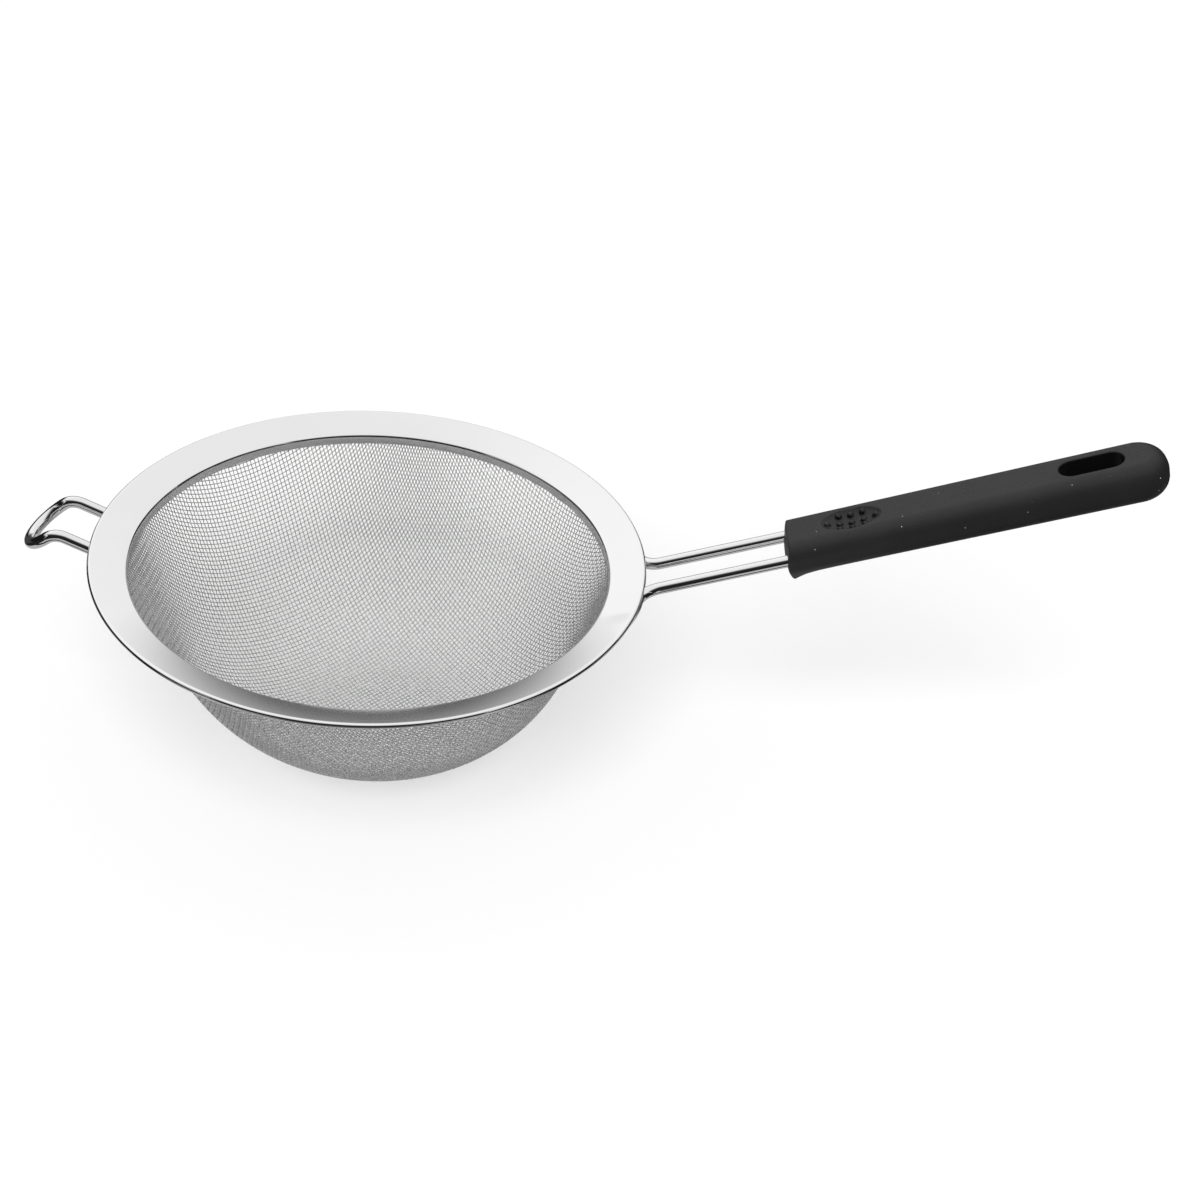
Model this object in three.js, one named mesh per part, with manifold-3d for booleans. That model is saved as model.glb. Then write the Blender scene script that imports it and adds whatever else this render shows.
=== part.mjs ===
// A fine-mesh hand sieve: a pressed steel rim with a woven wire bowl, a wire rest hook and a gripped handle.
// Millimetres, +Z up. The rim's axis is Z, the handle points along +X and the bowl stands on the plane Z = 0.

import * as THREE from 'three';
import { mergeVertices } from 'three/addons/utils/BufferGeometryUtils.js';
import Module from 'manifold-3d';

const wasm = await Module();
wasm.setup();

// Clearance left between pieces that touch
const fit = 0.3;

// Rim: a collar, a flange that slopes up and out, and a rolled lip
const openingRadius = 80;
const rimHeight = 68.6;
const rimSheet = 0.6;
const collarHeight = 3.2;
const crestBend = 1;
const flangeWidth = 11.5;
const flangeSlope = THREE.MathUtils.degToRad(22);
const lipRadius = 0.75;

// Bowl of wire cloth, its edge held between the collar and a clamp ring
const clothThickness = 0.8;
const clampSheet = 0.8;
const clampTopGap = 0.5;
const flankSlope = THREE.MathUtils.degToRad(25);
const baseFlatRadius = 13;
const bowlLean = 3.5;

// Openings of the cloth, as one plain grid in place of its fine holes
const meshCells = 12;
const meshBar = 5;
const weaveTurn = THREE.MathUtils.degToRad(42);

// Wire of the handle and the hook
const wireRadius = 2;

// Handle: two rods from one hairpin, with curved feet welded under the flange
const rodSpacing = 14.7;
const handleRise = THREE.MathUtils.degToRad(20.6);
const seatInset = 0.8;
const footRadius = 32;
const footSpan = THREE.MathUtils.degToRad(25);
const rodBend = 8;
const neckLength = 44.4;

// Grip moulded round the hairpin
const gripLength = 123.6;
const gripWidth = 22;
const gripFrontHeight = 12.6;
const gripRearHeight = 14.2;
const gripRounding = 5.5;
const rearRounding = 10.2;
const frontDome = 60;
const frontBulge = 0.8;
const gripUnder = 6.05;
const hairpinTail = 70;
const guardDrop = 1.9;
const guardLength = 15;
const guardWidth = 14;
const slotLength = 20.7;
const slotWidth = 8.7;
const slotFromRear = 13.3;
const thumbFromFront = 21.8;
const thumbLength = 21;
const thumbWidth = 12;
const thumbDepth = 2.4;
const dotPitch = 4;
const dotRowPitch = 3.6;
const dotRadius = 0.8;

// Rest hook on the other side
const hookSpacing = 20.9;
const hookRise = THREE.MathUtils.degToRad(23.6);
const hookFall = THREE.MathUtils.degToRad(37.8);
const hookLeg = 7.7;
const hookTuck = 7;
const hookBend = 6.3;

// Facets
const ringSegments = 60;
const bottomSteps = 9;
const rodSides = 5;
const rodStep = 2.5;
const arcStep = THREE.MathUtils.degToRad(18);
const gripBevelSteps = 5;
const gripCornerSteps = 10;
const guardSteps = 6;
const slotSteps = 8;
const domeFacets = 90;
const dishFacets = 20;
const dotFacets = 8;

// A circular arc from centre + from to the side of centre + across, which may rise as it goes
class Arc extends THREE.Curve {
  constructor(centre, from, across, sweep, lift = 0) {
    super();
    Object.assign(this, { centre, from, across, sweep, lift });
  }

  getPoint(t, target = new THREE.Vector3()) {
    const angle = t * this.sweep;
    target.copy(this.centre);
    target.addScaledVector(this.from, Math.cos(angle));
    target.addScaledVector(this.across, Math.sin(angle));
    target.z += this.lift * t * t;
    return target;
  }
}

// The same curve on the other side of the XZ plane, run backwards
class Mirrored extends THREE.Curve {
  constructor(curve) {
    super();
    this.curve = curve;
  }

  getPoint(t, target = new THREE.Vector3()) {
    this.curve.getPoint(1 - t, target);
    target.y = -target.y;
    return target;
  }
}

// One side's curves, a middle curve that crosses the XZ plane, and the other side's curves
function symmetricPath(side, middle) {
  const path = new THREE.CurvePath();
  side.forEach((curve) => path.add(curve));
  path.add(middle);
  side.toReversed().forEach((curve) => path.add(new Mirrored(curve)));
  return path;
}

function rod(path, radius) {
  const section = new THREE.Shape().absarc(0, 0, radius, 0, Math.PI * 2);
  const steps = Math.ceil(path.getLength() / rodStep);
  return new THREE.ExtrudeGeometry(section, { extrudePath: path, steps, curveSegments: rodSides });
}

// A profile of (radius, height) points turned about Z
function turned(profile) {
  return new THREE.LatheGeometry(profile, ringSegments).rotateX(Math.PI / 2);
}

function solidOf(geometry) {
  const bare = geometry.clone();
  bare.deleteAttribute('normal');
  bare.deleteAttribute('uv');
  const merged = mergeVertices(bare, 1e-5);
  return new wasm.Manifold(new wasm.Mesh({
    numProp: 3,
    vertProperties: new Float32Array(merged.attributes.position.array),
    triVerts: new Uint32Array(merged.index.array),
  }));
}

function geometryOf(solid) {
  const mesh = solid.getMesh();
  const geometry = new THREE.BufferGeometry();
  geometry.setAttribute('position', new THREE.BufferAttribute(new Float32Array(mesh.vertProperties), 3));
  geometry.setIndex(new THREE.BufferAttribute(new Uint32Array(mesh.triVerts), 1));
  geometry.computeVertexNormals();
  return geometry;
}

function piece(name, geometry, look) {
  const mesh = new THREE.Mesh(geometry, new THREE.MeshStandardMaterial(look));
  mesh.name = name;
  return mesh;
}

const steelLook = { color: 0xd8d9da, roughness: 0.15, metalness: 1 };

// Rim section, as a middle line that goes up the collar, over the crest and along the flange to the lip.
// The crest is the point half way round the bend, at the rim's height.
const collarMiddle = openingRadius + rimSheet / 2;
const crestCentre = new THREE.Vector2(
  collarMiddle + crestBend,
  rimHeight - (crestBend + rimSheet / 2) * Math.SQRT1_2,
);
const crestSweep = Math.PI / 2 - flangeSlope;
const flangeUp = new THREE.Vector2(-Math.sin(flangeSlope), Math.cos(flangeSlope));
const flangeOut = new THREE.Vector2(Math.cos(flangeSlope), Math.sin(flangeSlope));
const flangeStart = crestCentre.clone().addScaledVector(flangeUp, crestBend);
const flangeRun = (openingRadius + flangeWidth - flangeStart.x) / flangeOut.x;
const lipCentre = flangeStart.clone().addScaledVector(flangeOut, flangeRun);
const collarFoot = rimHeight - collarHeight;

// Height of the flange's underside at a radius
function flangeUnderside(radius) {
  const below = flangeStart.clone().addScaledVector(flangeUp, -rimSheet / 2);
  return below.y + (radius - below.x) * Math.tan(flangeSlope);
}

// A point of a section at an angle round a centre
function around(centre, radius, angle) {
  return new THREE.Vector2(Math.cos(angle), Math.sin(angle)).multiplyScalar(radius).add(centre);
}

function crestArc(radius) {
  const count = Math.ceil(crestSweep / arcStep);
  return Array.from({ length: count + 1 }, (_, i) => {
    const angle = Math.PI - (crestSweep * i) / count;
    return around(crestCentre, radius, angle);
  });
}

function makeRim() {
  const half = rimSheet / 2;
  const lipStart = Math.asin(half / lipRadius);
  const lipSweep = 2 * (Math.PI - lipStart);
  const lipCount = Math.ceil(lipSweep / (2 * arcStep));
  const lipArc = Array.from({ length: lipCount + 1 }, (_, i) => {
    const angle = flangeSlope + Math.PI - lipStart - (lipSweep * i) / lipCount;
    return around(lipCentre, lipRadius, angle);
  });
  const inside = [new THREE.Vector2(openingRadius, collarFoot), ...crestArc(crestBend + half)];
  const outside = [new THREE.Vector2(openingRadius + rimSheet, collarFoot), ...crestArc(crestBend - half)];
  const outline = [...outside, ...lipArc.reverse(), ...inside.reverse(), outside[0]];
  return piece('rim_flange', turned(outline), { ...steelLook });
}

// The cloth's edge stands between the collar and the clamp ring, from the collar's foot up to the bend
const clothInside = openingRadius + rimSheet + fit;
const clothMiddle = clothInside + clothThickness / 2;
const clothTop = crestCentre.y;
const clothTurn = collarFoot - fit / 2;

// A straight flank comes down from the clamp and runs into a round bottom with a small flat
const clothHalf = clothThickness / 2;
const bottomRadius = ((clothMiddle - baseFlatRadius) * Math.cos(flankSlope)
  - (clothTurn - clothHalf) * Math.sin(flankSlope)) / (1 - Math.sin(flankSlope));

const roundRun = bottomRadius * (Math.PI / 2 - flankSlope);
const flankRun = (clothTurn - clothHalf - bottomRadius * (1 - Math.sin(flankSlope))) / Math.cos(flankSlope);
const clothRun = baseFlatRadius + roundRun + flankRun;

// Below the clamp the bowl leans a little towards the handle
function leaned(point) {
  const share = THREE.MathUtils.clamp(1 - point.z / clothTurn, 0, 1);
  return point.setX(point.x + bowlLean * share);
}

// A point of the cloth at a run along its section, measured from the middle, and at an offset outwards
function clothPoint(run, azimuth, offset) {
  const lift = THREE.MathUtils.clamp((run - baseFlatRadius) / bottomRadius, 0, Math.PI / 2 - flankSlope);
  const straight = Math.max(run - baseFlatRadius - roundRun, 0);
  const bend = bottomRadius + offset;
  const radius = Math.min(run, baseFlatRadius) + bend * Math.sin(lift) + straight * Math.sin(flankSlope);
  const height = clothHalf + bottomRadius - bend * Math.cos(lift) + straight * Math.cos(flankSlope);
  return leaned(new THREE.Vector3(radius * Math.cos(azimuth), radius * Math.sin(azimuth), height));
}

// Square cells of the flat cloth, each carried on to the bowl and cut through it. Two bars cross under
// the bowl's middle, and a band below the clamp stays whole.
function meshOpenings() {
  const pitch = (2 * clothRun) / meshCells;
  const half = (pitch - meshBar) / 2;
  const lastRun = clothRun - meshBar;
  const depth = 2 * clothThickness;
  const middles = Array.from({ length: meshCells }, (_, i) => (i + 0.5 - meshCells / 2) * pitch);
  const corners = [[-half, -half], [half, -half], [half, half], [-half, half]];
  const carried = (x, y) => [-depth, depth].map((offset) => {
    const run = Math.min(Math.hypot(x, y), lastRun);
    return clothPoint(run, Math.atan2(y, x) + weaveTurn, offset).toArray();
  });
  const cells = middles.flatMap((x) => middles.map((y) => [x, y]));
  const openings = cells
    .filter(([x, y]) => Math.hypot(x, y) < lastRun)
    .map(([x, y]) => wasm.Manifold.hull(corners.flatMap(([dx, dy]) => carried(x + dx, y + dy))));
  return wasm.Manifold.union(openings);
}

function makeBowl() {
  const centre = new THREE.Vector2(baseFlatRadius, clothHalf + bottomRadius);
  const round = (radius) => Array.from({ length: bottomSteps + 1 }, (_, i) => {
    const angle = THREE.MathUtils.lerp(-Math.PI / 2, -flankSlope, i / bottomSteps);
    return around(centre, radius, angle);
  });
  const profile = [
    new THREE.Vector2(0, 0),
    ...round(bottomRadius + clothHalf),
    new THREE.Vector2(clothMiddle + clothHalf, clothTurn),
    new THREE.Vector2(clothMiddle + clothHalf, clothTop),
    new THREE.Vector2(clothMiddle - clothHalf, clothTop),
    new THREE.Vector2(clothMiddle - clothHalf, clothTurn),
    ...round(bottomRadius - clothHalf).reverse(),
    new THREE.Vector2(0, clothThickness),
  ];
  const geometry = turned(profile);
  const place = geometry.attributes.position;
  const point = new THREE.Vector3();
  for (let i = 0; i < place.count; i += 1) {
    place.setX(i, leaned(point.fromBufferAttribute(place, i)).x);
  }
  const cloth = solidOf(geometry).subtract(meshOpenings());
  return piece('mesh_bowl', geometryOf(cloth), { color: 0xb9babb, roughness: 0.35, metalness: 1 });
}

function makeClampRing() {
  const inside = clothInside + clothThickness + fit;
  const outside = inside + clampSheet;
  const top = flangeUnderside(inside) - clampTopGap;
  const outline = [
    new THREE.Vector2(inside, collarFoot),
    new THREE.Vector2(outside, collarFoot),
    new THREE.Vector2(outside, top),
    new THREE.Vector2(inside, top),
    new THREE.Vector2(inside, collarFoot),
  ];
  return piece('mesh_clamp_ring', turned(outline), { ...steelLook, roughness: 0.3 });
}

// Handle wire: each rod comes off a curved foot that lies along the underside of the flange,
// bends outwards and rises to the handle's slope, and the two meet in a half circle inside the grip.
const rodOffset = rodSpacing / 2;
const seatRadius = openingRadius + flangeWidth - seatInset;
const seatHeight = flangeUnderside(seatRadius) - (wireRadius + fit) / Math.cos(flangeSlope);
const bendCentre = new THREE.Vector2(
  Math.sqrt((seatRadius + rodBend) ** 2 - (rodOffset + rodBend) ** 2),
  rodOffset + rodBend,
);
const bendAngle = Math.atan2(bendCentre.y, bendCentre.x);
const bendSweep = Math.PI / 2 - bendAngle;
const bendLift = (Math.tan(handleRise) * rodBend * bendSweep) / 2;
const handleStart = new THREE.Vector3(bendCentre.x, 0, seatHeight + bendLift);
const handleAlong = new THREE.Vector3(Math.cos(handleRise), 0, Math.sin(handleRise));
const sideways = new THREE.Vector3(0, 1, 0);

// The hairpin's rods and half circle, from a start point along a direction
function hairpin(lead, from, to, start, along) {
  const side = start.clone().addScaledVector(sideways, rodOffset);
  const at = (distance) => side.clone().addScaledVector(along, distance);
  const bend = new Arc(
    start.clone().addScaledVector(along, to),
    sideways.clone().multiplyScalar(rodOffset),
    along.clone().multiplyScalar(rodOffset),
    Math.PI,
  );
  return symmetricPath([...lead, new THREE.LineCurve3(at(from), at(to))], bend);
}

function makeHandleWire() {
  const radial = (angle, radius) => new THREE.Vector3(radius * Math.cos(angle), radius * Math.sin(angle), 0);
  const upFlange = radial(bendAngle, Math.cos(flangeSlope)).setZ(Math.sin(flangeSlope));
  const alongRim = radial(bendAngle + Math.PI / 2, 1);
  const inFoot = (angle) => new THREE.Vector3()
    .addScaledVector(upFlange, footRadius * Math.cos(angle))
    .addScaledVector(alongRim, footRadius * Math.sin(angle));
  const foot = new Arc(
    radial(bendAngle, seatRadius).setZ(seatHeight).sub(inFoot(0)),
    inFoot(footSpan),
    inFoot(footSpan - Math.PI / 2),
    footSpan,
  );
  const bend = new Arc(
    new THREE.Vector3(bendCentre.x, bendCentre.y, seatHeight),
    radial(bendAngle + Math.PI, rodBend),
    radial(bendAngle + Math.PI * 1.5, rodBend),
    bendSweep,
    bendLift,
  );
  const path = hairpin([foot, bend], 0, neckLength + hairpinTail, handleStart, handleAlong);
  return piece('handle_wire', rod(path, wireRadius), { ...steelLook });
}

// Grip, in the handle's own frame: X along the handle, Z off its top, the rods in the plane Z = 0
function makeGrip() {
  const overrun = 2 * gripRounding;
  const core = gripWidth / 2 - gripRounding;
  const corner = rearRounding - gripRounding;
  const rear = gripLength - rearRounding;
  const plan = new THREE.Shape();
  plan.moveTo(-overrun, -core);
  plan.lineTo(rear, -core);
  plan.absarc(rear, corner - core, corner, -Math.PI / 2, 0);
  plan.absarc(rear, core - corner, corner, 0, Math.PI / 2);
  plan.lineTo(-overrun, core);
  const body = new THREE.ExtrudeGeometry(plan, {
    depth: gripFrontHeight - 2 * gripRounding,
    bevelThickness: gripRounding,
    bevelSize: gripRounding,
    bevelSegments: gripBevelSteps,
    curveSegments: gripCornerSteps,
  });
  body.translate(0, 0, gripRounding);

  // The top climbs away from the straight underside towards the rear
  const heightAt = (x) => THREE.MathUtils.lerp(gripFrontHeight, gripRearHeight, x / gripLength);
  const place = body.attributes.position;
  for (let i = 0; i < place.count; i += 1) {
    place.setZ(i, (place.getZ(i) * heightAt(place.getX(i))) / gripFrontHeight - gripUnder);
  }

  // Finger guard: a lip under the front end that fades out along the underside
  const bottom = -gripUnder;
  const guard = new THREE.Shape();
  guard.moveTo(-guardDrop, bottom + gripRounding);
  guard.lineTo(-guardDrop, bottom - guardDrop / 2);
  guard.lineTo(guardDrop / 2, bottom - guardDrop);
  guard.quadraticCurveTo(guardLength / 4, bottom, guardLength, bottom + fit);
  guard.lineTo(guardLength, bottom + gripRounding);
  const guardBody = new THREE.ExtrudeGeometry(guard, {
    depth: guardWidth,
    bevelEnabled: false,
    curveSegments: guardSteps,
  });
  guardBody.rotateX(Math.PI / 2);
  guardBody.translate(0, guardWidth / 2, 0);

  // What runs on past the front is cut off square, to a slightly domed face
  const front = new THREE.BoxGeometry(4 * overrun, 2 * gripWidth, 4 * gripFrontHeight);
  front.translate(gripRounding - 2 * overrun, 0, 0);
  const dome = new THREE.SphereGeometry(frontDome, domeFacets, domeFacets / 2);
  dome.translate(frontDome - frontBulge, 0, 0);
  const frontCut = solidOf(front).subtract(solidOf(dome));

  // Hanging slot
  const slotEnd = (slotLength - slotWidth) / 2;
  const slot = new THREE.Shape();
  slot.absarc(slotEnd, 0, slotWidth / 2, -Math.PI / 2, Math.PI / 2);
  slot.absarc(-slotEnd, 0, slotWidth / 2, Math.PI / 2, Math.PI * 1.5);
  const slotBody = new THREE.ExtrudeGeometry(slot, {
    depth: 2 * gripRearHeight,
    bevelEnabled: false,
    curveSegments: slotSteps,
  });
  slotBody.translate(gripLength - slotFromRear - slotLength / 2, 0, -gripRearHeight);

  // Channel the hairpin lies in
  const channel = rod(
    hairpin([], -gripRounding, hairpinTail, new THREE.Vector3(), new THREE.Vector3(1, 0, 0)),
    wireRadius + fit,
  );

  // Thumb recess: a shallow dish with a 1-3-3-3-1 pattern of raised dots
  const top = heightAt(thumbFromFront) - gripUnder;
  const dish = new THREE.SphereGeometry(1, dishFacets, dishFacets / 2);
  dish.scale(thumbLength / 2, thumbWidth / 2, thumbDepth);
  dish.translate(thumbFromFront, 0, top);
  const dishHeight = (x, y) => top - thumbDepth * Math.sqrt(
    1 - ((2 * x) / thumbLength) ** 2 - ((2 * y) / thumbWidth) ** 2,
  );

  let grip = solidOf(body).add(solidOf(guardBody)).subtract(frontCut);
  grip = grip.subtract(solidOf(slotBody)).subtract(solidOf(channel)).subtract(solidOf(dish));
  for (let column = -2; column <= 2; column += 1) {
    const rows = Math.abs(column) === 2 ? [0] : [-1, 0, 1];
    for (const row of rows) {
      const dot = new THREE.SphereGeometry(dotRadius, dotFacets, dotFacets / 2);
      const x = column * dotPitch;
      const y = row * dotRowPitch;
      dot.translate(thumbFromFront + x, y, dishHeight(x, y));
      grip = grip.add(solidOf(dot));
    }
  }
  const mesh = piece('handle_grip', geometryOf(grip), { color: 0x1d1d1e, roughness: 0.6, metalness: 0 });
  mesh.position.x = neckLength;
  return mesh;
}

// Hook wire: two legs that rise from under the lip, bend over and meet in a half circle on the way down
function makeHook() {
  const offset = hookSpacing / 2;
  const outward = (angle) => new THREE.Vector3(-Math.cos(angle), 0, Math.sin(angle));
  const clear = lipRadius + fit + wireRadius;
  const underLip = around(lipCentre, clear, hookRise - Math.PI / 2);
  const lipPoint = new THREE.Vector3(-Math.sqrt(underLip.x ** 2 - offset ** 2), offset, underLip.y);
  const legStart = lipPoint.clone().addScaledVector(outward(hookRise), -hookTuck);
  const legEnd = lipPoint.clone().addScaledVector(outward(hookRise), hookLeg);
  const up = outward(hookRise + Math.PI / 2);
  const bend = new Arc(
    legEnd.clone().addScaledVector(up, -hookBend),
    up.clone().multiplyScalar(hookBend),
    outward(hookRise).multiplyScalar(hookBend),
    hookRise + hookFall,
  );
  const loopStart = bend.getPoint(1);
  const loop = new Arc(
    new THREE.Vector3(loopStart.x, 0, loopStart.z),
    new THREE.Vector3(0, offset, 0),
    outward(-hookFall).multiplyScalar(offset),
    Math.PI,
  );
  const path = symmetricPath([new THREE.LineCurve3(legStart, legEnd), bend], loop);
  return piece('hook_wire', rod(path, wireRadius), { ...steelLook });
}

const handle = new THREE.Group();
handle.position.copy(handleStart);
handle.rotation.y = -handleRise;
handle.add(makeGrip());

const sieve = new THREE.Group();
sieve.add(makeRim(), makeClampRing(), makeBowl(), makeHandleWire(), makeHook(), handle);

export default sieve;
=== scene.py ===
import bmesh
import bpy
import numpy as np
from mathutils import Matrix


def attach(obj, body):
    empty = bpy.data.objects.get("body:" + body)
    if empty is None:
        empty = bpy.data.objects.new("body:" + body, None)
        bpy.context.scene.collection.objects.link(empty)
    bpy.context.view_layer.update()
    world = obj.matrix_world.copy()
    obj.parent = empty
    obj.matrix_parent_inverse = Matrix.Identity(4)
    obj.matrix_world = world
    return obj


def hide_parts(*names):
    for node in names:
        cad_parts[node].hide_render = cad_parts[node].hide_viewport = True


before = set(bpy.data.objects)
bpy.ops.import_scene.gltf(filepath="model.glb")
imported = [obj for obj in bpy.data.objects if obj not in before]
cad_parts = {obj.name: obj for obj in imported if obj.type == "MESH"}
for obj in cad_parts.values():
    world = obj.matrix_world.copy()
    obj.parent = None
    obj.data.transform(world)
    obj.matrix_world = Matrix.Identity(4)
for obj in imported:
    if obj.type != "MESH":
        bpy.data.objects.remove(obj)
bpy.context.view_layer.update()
scene = bpy.context.scene
scene.view_settings.view_transform = "Standard"
# the pieces are measured in millimetres, the camera and the stage in metres, and angles in degrees
mm = 0.001
tiny = 1e-9     # keeps a division away from zero
print("frame:", len(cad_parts), "nodes loaded")


# Camera

cameraSet = {
    "aim": (0.0779, 0.0, 0.0592),
    "distance": 0.5709,
    "azimuth": -2.27,       # round the upright axis
    "elevation": 35.63,     # above the horizon
    "roll": 6.33,           # the picture's right side tips up
    "lens": 50.0, "sensor": 36.0, "clip": (0.01, 50.0),
}


def placeMatrix(right, up, back, spot):
    # an object's three directions and its place, one column for each
    place = np.eye(4)
    place[:3] = np.stack([right, up, back, spot], 1)
    return Matrix(place.tolist())


def makeCamera(s):
    # the camera sits on a ray from the aim, and its right and up turn about that ray by the roll
    azimuth, elevation, roll = np.radians([s["azimuth"], s["elevation"], s["roll"]])
    level = np.cos(elevation)
    back = np.array([np.sin(azimuth) * level, -np.cos(azimuth) * level, np.sin(elevation)])
    aside = np.array([np.cos(azimuth), np.sin(azimuth), 0.0])
    above = np.cross(back, aside)
    right = np.cos(roll) * aside + np.sin(roll) * above
    up = np.cos(roll) * above - np.sin(roll) * aside
    data = bpy.data.cameras.new("camera")
    data.lens = s["lens"]
    data.sensor_width = s["sensor"]
    data.clip_start, data.clip_end = s["clip"]
    camera = bpy.data.objects.new("camera", data)
    camera.matrix_world = placeMatrix(right, up, back, np.array(s["aim"]) + s["distance"] * back)
    scene.collection.objects.link(camera)
    scene.camera = camera


makeCamera(cameraSet)
print("camera: done")


# Mesh helpers

def putMesh(name, points, faceSets):
    # points in millimetres, each face set an array of corner numbers with one row for a face
    corners = np.concatenate([faces.ravel() for faces in faceSets])
    counts = np.concatenate([np.full(len(faces), faces.shape[1]) for faces in faceSets])
    mesh = bpy.data.meshes.new(name)
    mesh.vertices.add(len(points))
    mesh.vertices.foreach_set("co", (points * mm).astype(np.float32).ravel())
    mesh.loops.add(len(corners))
    mesh.loops.foreach_set("vertex_index", corners.astype(np.int32))
    mesh.polygons.add(len(counts))
    mesh.polygons.foreach_set("loop_start", (np.cumsum(counts) - counts).astype(np.int32))
    mesh.update(calc_edges=True)
    mesh.validate()
    mesh.polygons.foreach_set("use_smooth", np.ones(len(mesh.polygons), bool))
    thing = bpy.data.objects.new(name, mesh)
    scene.collection.objects.link(thing)
    return thing


def gridFaces(rows, columns, closedRows=False, closedColumns=False):
    # quads between neighbours of a grid whose points are numbered row by row
    a = np.arange(rows if closedRows else rows - 1)[:, None]
    b = np.arange(columns if closedColumns else columns - 1)[None, :]
    aNext = (a + 1) % rows
    bNext = (b + 1) % columns
    corners = [a * columns + b, a * columns + bNext, aNext * columns + bNext, aNext * columns + b]
    return np.stack(corners, -1).reshape(-1, 4)


def unit(vectors):
    return vectors / np.linalg.norm(vectors, axis=-1, keepdims=True)


def weldSeams(thing, distance=1e-6):
    # joins points that lie on each other, such as a pole's or a seam's, and turns the faces outwards
    work = bmesh.new()
    work.from_mesh(thing.data)
    bmesh.ops.remove_doubles(work, verts=work.verts, dist=distance)
    bmesh.ops.dissolve_degenerate(work, edges=work.edges, dist=distance)
    bmesh.ops.recalc_face_normals(work, faces=work.faces)
    work.to_mesh(thing.data)
    work.free()
    thing.data.polygons.foreach_set("use_smooth", np.ones(len(thing.data.polygons), bool))


def turnedPiece(name, profile, segments, dent=None):
    # a closed profile of (radius, height) turned about Z: point = (r cos a, r sin a, z)
    angle = np.linspace(0, 2 * np.pi, segments, endpoint=False)[:, None]
    radius, height = profile[None, :, 0], profile[None, :, 1]
    points = np.stack([radius * np.cos(angle), radius * np.sin(angle), height + 0 * angle], -1)
    if dent is not None:
        points[..., 2] -= dent(points)
    return putMesh(name, points.reshape(-1, 3), [gridFaces(segments, len(profile), True, True)])


def wirePiece(name, path, s):
    # a circle carried along the path, drawn in to a rounded nose at both ends
    sides = s["sides"]
    run = np.concatenate([[0.0], np.cumsum(np.linalg.norm(np.diff(path, axis=0), axis=1))])
    along = unit(np.gradient(path, run, axis=0))
    side = unit(np.cross(along, [0.0, 0.0, 1.0]))
    over = np.cross(side, along)
    fromEnd = np.minimum(run, run[-1] - run)
    nose = np.sqrt(np.clip(1 - (1 - np.clip(fromEnd / s["nose"], 0, 1)) ** 2, 0, 1))
    size = (s["radius"] * nose)[:, None, None]
    angle = np.linspace(0, 2 * np.pi, sides, endpoint=False)[None, :, None]
    points = path[:, None] + size * (np.cos(angle) * side[:, None] + np.sin(angle) * over[:, None])
    thing = putMesh(name, points.reshape(-1, 3), [gridFaces(len(path), sides, False, True)])
    uvMap = thing.data.uv_layers.new(name="alongWire")
    corner = np.empty(len(thing.data.loops), np.int32)
    thing.data.loops.foreach_get("vertex_index", corner)
    turn = np.tile(np.abs(np.linspace(-1, 1, sides, endpoint=False)), len(path))
    uv = np.stack([turn[corner], np.repeat(run, sides)[corner] * mm], -1)
    uvMap.data.foreach_set("uv", uv.astype(np.float32).ravel())
    weldSeams(thing)
    return thing


def putValues(thing, name, grids):
    # one number for each point, kept on the mesh for its finish
    values = np.concatenate([grid.ravel() for grid in grids])
    thing.data.attributes.new(name, "FLOAT", "POINT").data.foreach_set("value", values.astype(np.float32))


def arcAngles(start, stop, count):
    return np.radians(np.linspace(start, stop, count))


# Node helpers

def newFinish(name):
    finish = bpy.data.materials.new(name)
    finish.use_nodes = True
    return finish, finish.node_tree, finish.node_tree.nodes["Principled BSDF"]


def feed(tree, value, socket):
    # a socket takes another node's output or a plain number
    if isinstance(value, bpy.types.NodeSocket):
        tree.links.new(value, socket)
    else:
        socket.default_value = value


def addNode(tree, kind, settings=(), **sockets):
    made = tree.nodes.new(kind)
    for key, value in dict(settings).items():
        setattr(made, key, value)
    for key, value in sockets.items():
        feed(tree, value, made.inputs[key])
    return made


def worked(tree, operation, first, second, kind="ShaderNodeMath", output="Value"):
    node = addNode(tree, kind, {"operation": operation})
    feed(tree, first, node.inputs[0])
    feed(tree, second, node.inputs[1])
    return node.outputs[output]


def vectorWorked(tree, operation, first, second, output="Value"):
    return worked(tree, operation, first, second, "ShaderNodeVectorMath", output)


def ranged(tree, value, old, new, kind="LINEAR"):
    # carries a value from the old range to the new one
    node = addNode(tree, "ShaderNodeMapRange", {"interpolation_type": kind}, Value=value)
    for key, number in zip(("From Min", "From Max", "To Min", "To Max"), (*old, *new)):
        feed(tree, number, node.inputs[key])
    return node.outputs["Result"]


def grey(tree, value):
    return addNode(tree, "ShaderNodeCombineColor", Red=value, Green=value, Blue=value).outputs["Color"]


def noise(tree, place, scale, detail, **sockets):
    made = addNode(tree, "ShaderNodeTexNoise", Vector=place, Scale=scale, Detail=detail, **sockets)
    return made.outputs["Fac"]


def objectPlace(tree):
    return addNode(tree, "ShaderNodeTexCoord").outputs["Object"]


def meshValue(tree, name):
    return addNode(tree, "ShaderNodeAttribute", {"attribute_name": name}).outputs["Fac"]


def bumped(tree, height, strength, distance):
    made = addNode(tree, "ShaderNodeBump", Height=height, Strength=strength, Distance=distance)
    return made.outputs["Normal"]


def toneRange(s):
    return s["tone"] - s["shift"], s["tone"] + s["shift"]


def setShader(tree, shader, **sockets):
    # underscores in a key stand for the spaces of the socket's name
    for key, value in sockets.items():
        feed(tree, value, shader.inputs[key.replace("_", " ")])


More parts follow.
